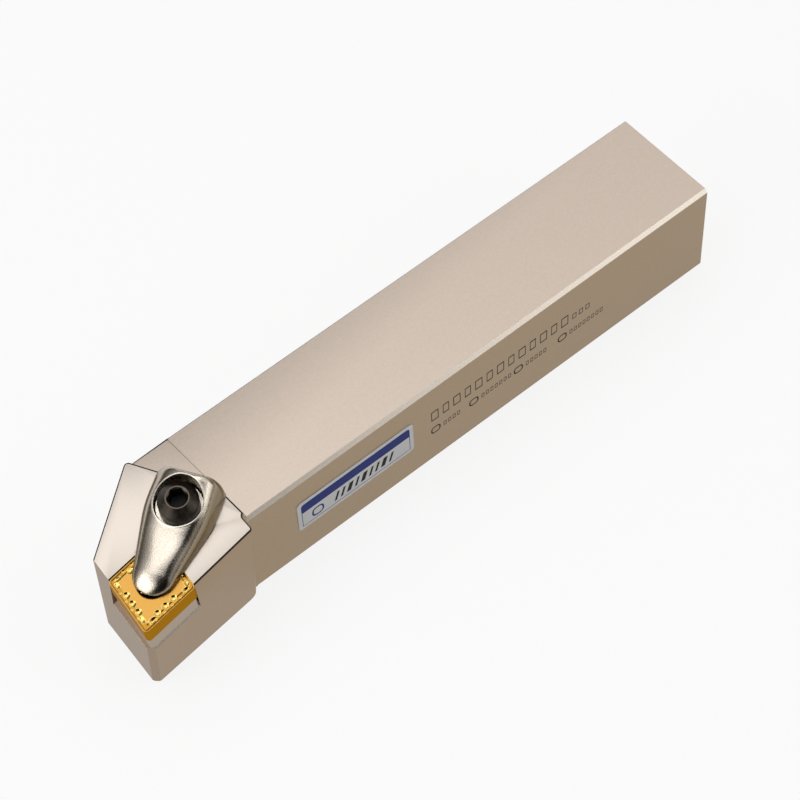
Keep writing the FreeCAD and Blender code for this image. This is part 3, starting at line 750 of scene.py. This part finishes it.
def label_print():
    """Print on the sticker: a blue band, a thin frame, a small rounded outline and black strokes."""
    margin, band, frame_line, band_rounding = 0.95, 2.9, 0.14, 0.8
    proud = LABEL_THICKNESS + 0.01
    left = -OVERALL_LENGTH / 2 + LABEL_START
    low = (left + margin, LABEL_BOTTOM + margin)
    high = (left + LABEL_LENGTH - margin, LABEL_BOTTOM + LABEL_HEIGHT - margin)
    band_foot = high[1] - band
    form = bmesh.new()
    print_field(form, rounded_box((low[0], band_foot), high, (0.0, band_rounding, band_rounding, 0.0)),
                proud, BLUE_INK)
    for start, end in ((low, (low[0] + frame_line, band_foot)),
                       ((high[0] - frame_line, low[1]), (high[0], band_foot)),
                       (low, (high[0], low[1] + frame_line))):
        print_field(form, rounded_box(start, end), proud, BLUE_INK)
    # The outline, and a row of slanted strokes of two widths beside it, up to the same height
    print_top = low[1] + 3.6
    ring_start, ring_foot = left + 3.4, low[1] + 0.8
    ring_width, ring_rounding, ring_line = 3.0, 1.1, 0.3
    ring = rounded_box((ring_start, ring_foot), (ring_start + ring_width, print_top), ring_rounding)
    print_line(form, ring, ring_line, proud)
    stroke_foot, lean, gap = low[1] + 1.0, 0.9, 0.95
    place = left + 9.0
    for width in (0.6, 0.6, 1.1, 0.6, 1.1, 0.6, 0.6, 1.1, 0.6):
        stroke = [(place, stroke_foot), (place + width, stroke_foot),
                  (place + width + lean, print_top), (place + lean, print_top)]
        print_field(form, stroke, proud, BLACK_INK)
        place += width + gap
    finish_print(form, "label_print", film_blue, film_black)


def shank_marks():
    """Two rows of plain etched boxes and ovals on the side of the bar."""
    proud = 0.012
    form = bmesh.new()
    start = -OVERALL_LENGTH / 2

    def box_run(place, widths, gap, low, high, line):
        """Boxes side by side between two heights, and the place where the next would start."""
        for width in widths:
            print_line(form, rounded_box((place, low), (place + width, high)), line, proud)
            place += width + gap
        return place

    # Large row: upright boxes of two widths, then three small ones
    place = box_run(start + 75.0, (1.9, 1.6) * 6 + (1.9,), gap=1.15, low=13.3, high=16.4, line=0.26)
    box_run(place, (1.1,) * 3, gap=0.7, low=13.7, high=15.3, line=0.18)
    # Small row: four groups by their start and number of short boxes, which follow an oval
    oval_low, oval_high, oval_width = 8.7, 10.9, 2.5
    oval_rounding, oval_line, oval_gap = 0.9, 0.24, 0.8
    for group, boxes in ((74.8, 4), (84.9, 7), (96.9, 5), (108.9, 8)):
        place = start + group
        oval = rounded_box((place, oval_low), (place + oval_width, oval_high), oval_rounding)
        print_line(form, oval, oval_line, proud)
        box_run(place + oval_width + oval_gap, (0.75,) * boxes, gap=0.45, low=9.1, high=10.4,
                line=0.16)
    finish_print(form, "shank_marks", etched_mark)


label_print()
shank_marks()


def studio_floor():
    """Wide plain white floor under the shank."""
    reach, paper_white, white = 12.0, (0.96, 0.97, 0.985, 1.0), (1.0, 1.0, 1.0, 1.0)
    # Share of the floor that shows as plain white; the rest keeps the tool's shadow
    glow_share = 0.85
    mesh = bpy.data.meshes.new("studio_floor")
    corners = [(-reach, -reach, 0), (reach, -reach, 0), (reach, reach, 0), (-reach, reach, 0)]
    mesh.from_pydata(corners, [], [(0, 1, 2, 3)])
    material, tree = start_finish("matt_white_floor")
    paper = add(tree, "ShaderNodeBsdfDiffuse", {"Color": paper_white})
    glow = add(tree, "ShaderNodeEmission", {"Color": white, "Strength": 1.0})
    path = add(tree, "ShaderNodeLightPath")
    seen = path.outputs["Is Camera Ray"]
    for ray in ("Is Glossy Ray", "Is Transmission Ray"):
        seen = add(tree, "ShaderNodeMath", {0: seen, 1: path.outputs[ray]},
                   operation="MAXIMUM").outputs[0]
    share = add(tree, "ShaderNodeMath", {0: seen, 1: glow_share}, operation="MULTIPLY")
    surface = add(tree, "ShaderNodeMixShader",
                  {0: share.outputs[0], 1: paper.outputs[0], 2: glow.outputs[0]})
    add(tree, "ShaderNodeOutputMaterial", {"Surface": surface.outputs[0]})
    link("studio_floor", mesh, material)


def softbox(name, towards, distance, size, radiance):
    """Square soft lamp that faces the tool's head from a direction."""
    head = Vector((-0.055, 0.0, 0.03))
    direction = Vector(towards).normalized()
    lamp = bpy.data.lights.new(name, "AREA")
    lamp.shape = "SQUARE"
    lamp.size = size
    lamp.energy = radiance * math.pi * size * size
    lamp_object = bpy.data.objects.new(name, lamp)
    collection.objects.link(lamp_object)
    lamp_object.location = head + direction * distance
    lamp_object.rotation_euler = direction.to_track_quat("Z", "Y").to_euler()


def studio_world():
    """Room round the tool: bright overhead, warm and dimmer at eye level, dark on the front side and
    dim on the far side."""
    warm, neutral = (1.0, 0.86, 0.68), (1.0, 0.98, 0.96)
    # Height in the room, light there and its tint
    stops = ((0.0, 0.16, warm), (0.25, 0.24, warm), (0.5, 0.6, neutral), (0.8, 0.88, neutral),
             (0.95, 1.0, neutral), (1.0, 1.0, neutral))
    # Shaded sides: where each lies, where it starts and is full, and the light left in it
    shades = (((-0.38, -0.65, 0.66), 0.68, 0.89, 0.0), ((-0.15, 0.95, 0.25), 0.64, 0.88, 0.38))
    world = bpy.data.worlds.new("studio_room")
    scene.world = world
    world.use_nodes = True
    tree = world.node_tree
    tree.nodes.clear()
    direction = add(tree, "ShaderNodeTexCoord").outputs["Generated"]
    height = add(tree, "ShaderNodeSeparateXYZ", {0: direction}).outputs["Z"]
    ramp = add(tree, "ShaderNodeValToRGB", {"Fac": height})
    elements = ramp.color_ramp.elements
    while len(elements) < len(stops):
        elements.new(0.5)
    for element, (position, level, tint) in zip(elements, stops):
        element.position = position
        element.color = (level * tint[0], level * tint[1], level * tint[2], 1.0)
    light = ramp.outputs["Color"]
    for towards, start, full, left in shades:
        facing = add(tree, "ShaderNodeVectorMath",
                     {0: direction, 1: Vector(towards).normalized()}, operation="DOT_PRODUCT")
        share = add(tree, "ShaderNodeMapRange",
                    {"Value": facing.outputs["Value"], "From Min": start, "From Max": full,
                     "To Min": 1.0, "To Max": left})
        light = add(tree, "ShaderNodeVectorMath", {0: light, "Scale": share.outputs[0]},
                    operation="SCALE").outputs["Vector"]
    background = add(tree, "ShaderNodeBackground", {"Color": light, "Strength": 1.0})
    add(tree, "ShaderNodeOutputWorld", {"Surface": background.outputs[0]})


def photo_camera():
    """Camera of the photograph, as the bar's corners in it give: turn, height, tilt, place, lens."""
    turn, height, tilt = (math.radians(angle) for angle in (-36.7587, 55.8725, -3.8050))
    place_mm = Vector((-175.334, -237.224, 442.350))
    lens, sensor_width = 115.909, 36.0
    back = Vector((math.sin(turn) * math.cos(height), -math.cos(turn) * math.cos(height),
                   math.sin(height)))
    level = Vector((math.cos(turn), math.sin(turn), 0))
    upright = back.cross(level)
    right = level * math.cos(tilt) + upright * math.sin(tilt)
    up = upright * math.cos(tilt) - level * math.sin(tilt)
    camera = bpy.data.cameras.new("photo_camera")
    camera.lens = lens
    camera.sensor_width = sensor_width
    camera.clip_start = 0.01
    camera.clip_end = 50.0
    camera_object = bpy.data.objects.new("photo_camera", camera)
    collection.objects.link(camera_object)
    placement = Matrix((right, up, back)).transposed().to_4x4()
    placement.translation = place_mm * MM
    camera_object.matrix_world = placement
    scene.camera = camera_object


studio_floor()
studio_world()
# Softboxes: direction from the head, distance and size in metres, and how bright they look
softbox("overhead_softbox", (-0.08, 0.14, 1.0), 0.8, 0.8, 0.65)
softbox("left_softbox", (-0.92, 0.05, 0.42), 0.6, 0.46, 1.5)
softbox("right_softbox", (0.62, -0.68, 0.38), 0.6, 0.3, 1.1)
photo_camera()
scene.view_settings.view_transform = "Standard"
